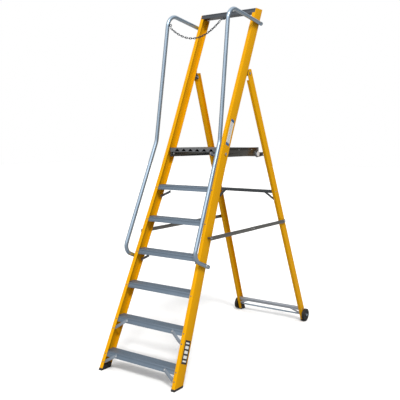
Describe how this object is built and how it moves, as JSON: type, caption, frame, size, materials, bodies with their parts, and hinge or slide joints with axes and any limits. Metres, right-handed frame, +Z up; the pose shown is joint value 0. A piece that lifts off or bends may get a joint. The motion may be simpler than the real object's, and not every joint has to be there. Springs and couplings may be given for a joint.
{
  "type": "platform step ladder",
  "caption": "Free-standing platform step ladder with fibreglass stiles, box treads, handrails, a tilting platform, a folding rear frame and transport wheels.",
  "frame": {"origin": "on the floor, below the middle of the box around the open ladder", "axes": "+X to the right seen from the climbing side, +Y from the front (climbing side) to the rear, +Z up"},
  "size_m": [0.766, 2.0426, 2.721],
  "materials": {
    "fibreglass": "pultruded glass-fibre resin, satin, faint lengthwise grain",
    "tread_aluminium": "mill-finish extrusion, ribbed top",
    "rail_aluminium": "smooth drawn tube",
    "platform_aluminium": "mill-finish extrusion",
    "bar_aluminium": "mill-finish extrusion",
    "stay_steel": "zinc-plated flat bar",
    "zinc_steel": "zinc-plated",
    "dark_steel": "dark coated",
    "black_rubber": "matt",
    "tyre_rubber": "matt, moulded tread",
    "hub_plastic": "moulded"
  },
  "bodies": {
    "front_frame": {"top_bar": "tread_aluminium", "chain": "zinc_steel", "snap_link": "zinc_steel", "tread_1": "tread_aluminium", "tread_2": "tread_aluminium", "tread_3": "tread_aluminium", "tread_4": "tread_aluminium", "tread_5": "tread_aluminium", "tread_6": "tread_aluminium", "front_stile_left": "fibreglass", "front_stile_right": "fibreglass", "front_foot_left": "black_rubber", "front_foot_right": "black_rubber", "front_brace_1_left": "bar_aluminium", "front_brace_1_right": "bar_aluminium", "front_brace_2_left": "bar_aluminium", "front_brace_2_right": "bar_aluminium", "rear_brace_4_left": "bar_aluminium", "rear_brace_4_right": "bar_aluminium", "rear_brace_6_left": "bar_aluminium", "rear_brace_6_right": "bar_aluminium", "handrail_left": "rail_aluminium", "handrail_right": "rail_aluminium", "handrail_plug_upper_left": "black_rubber", "handrail_plug_upper_right": "black_rubber", "handrail_plug_lower_left": "black_rubber", "handrail_plug_lower_right": "black_rubber", "chain_eye_left": "zinc_steel", "chain_eye_right": "zinc_steel", "hinge_bracket_left": "dark_steel", "hinge_bracket_right": "dark_steel", "platform_bolt_left": "zinc_steel", "platform_bolt_right": "zinc_steel"},
    "platform": {"platform_deck": "platform_aluminium", "platform_tube": "platform_aluminium", "platform_side_left": "platform_aluminium", "platform_side_right": "platform_aluminium"},
    "rear_frame": {"rear_bar_upper": "bar_aluminium", "rear_bar_lower": "bar_aluminium", "axle_rod": "zinc_steel", "rear_leg_left": "fibreglass", "rear_leg_right": "fibreglass", "rear_foot_left": "black_rubber", "rear_foot_right": "black_rubber", "rear_brace_upper_left": "bar_aluminium", "rear_brace_upper_right": "bar_aluminium", "rear_brace_lower_left": "bar_aluminium", "rear_brace_lower_right": "bar_aluminium", "cradle_left": "dark_steel", "cradle_right": "dark_steel", "hinge_pin_left": "zinc_steel", "hinge_pin_right": "zinc_steel"},
    "wheel_left": {"wheel_hub_left": "hub_plastic", "wheel_tyre_left": "tyre_rubber"},
    "stay_front_left": {"stay_front_left": "stay_steel"},
    "stay_rear_left": {"stay_rear_left": "stay_steel"},
    "wheel_right": {"wheel_hub_right": "hub_plastic", "wheel_tyre_right": "tyre_rubber"},
    "stay_front_right": {"stay_front_right": "stay_steel"},
    "stay_rear_right": {"stay_rear_right": "stay_steel"}
  },
  "joints": [
    {"name": "rear_fold", "type": "hinge", "parent": "front_frame", "child": "rear_frame", "pos_m": [0, 0.08725, 2.203], "axis": [-1, 0, 0], "range_deg": [0, 45]},
    {"name": "platform_tilt", "type": "hinge", "parent": "front_frame", "child": "platform", "pos_m": [0, -0.27435, 1.575], "axis": [1, 0, 0], "range_deg": [0, 66]},
    {"name": "stay_front_left_fold", "type": "hinge", "parent": "front_frame", "child": "stay_front_left", "pos_m": [-0.325, -0.54175, 0.976], "axis": [1, 0, 0], "range_deg": [0, 85.49]},
    {"name": "stay_front_right_fold", "type": "hinge", "parent": "front_frame", "child": "stay_front_right", "pos_m": [0.325, -0.54175, 0.976], "axis": [1, 0, 0], "range_deg": [0, 85.49]},
    {"name": "stay_rear_left_fold", "type": "hinge", "parent": "rear_frame", "child": "stay_rear_left", "pos_m": [-0.321, 0.59125, 0.976], "axis": [-1, 0, 0], "range_deg": [0, 37.57]},
    {"name": "stay_rear_right_fold", "type": "hinge", "parent": "rear_frame", "child": "stay_rear_right", "pos_m": [0.321, 0.59125, 0.976], "axis": [-1, 0, 0], "range_deg": [0, 37.57]},
    {"name": "wheel_left_spin", "type": "hinge", "parent": "rear_frame", "child": "wheel_left", "pos_m": [-0.365, 0.95625, 0.061], "axis": [1, 0, 0], "continuous": true},
    {"name": "wheel_right_spin", "type": "hinge", "parent": "rear_frame", "child": "wheel_right", "pos_m": [0.365, 0.95625, 0.061], "axis": [1, 0, 0], "continuous": true}
  ],
  "couplings": [
    {"joint": "platform_tilt", "follows": "rear_fold", "ratio": 1.4666},
    {"joint": "stay_front_left_fold", "follows": "rear_fold", "ratio": 1.8997},
    {"joint": "stay_front_right_fold", "follows": "rear_fold", "ratio": 1.8997},
    {"joint": "stay_rear_left_fold", "follows": "rear_fold", "ratio": 0.8348},
    {"joint": "stay_rear_right_fold", "follows": "rear_fold", "ratio": 0.8348}
  ]
}
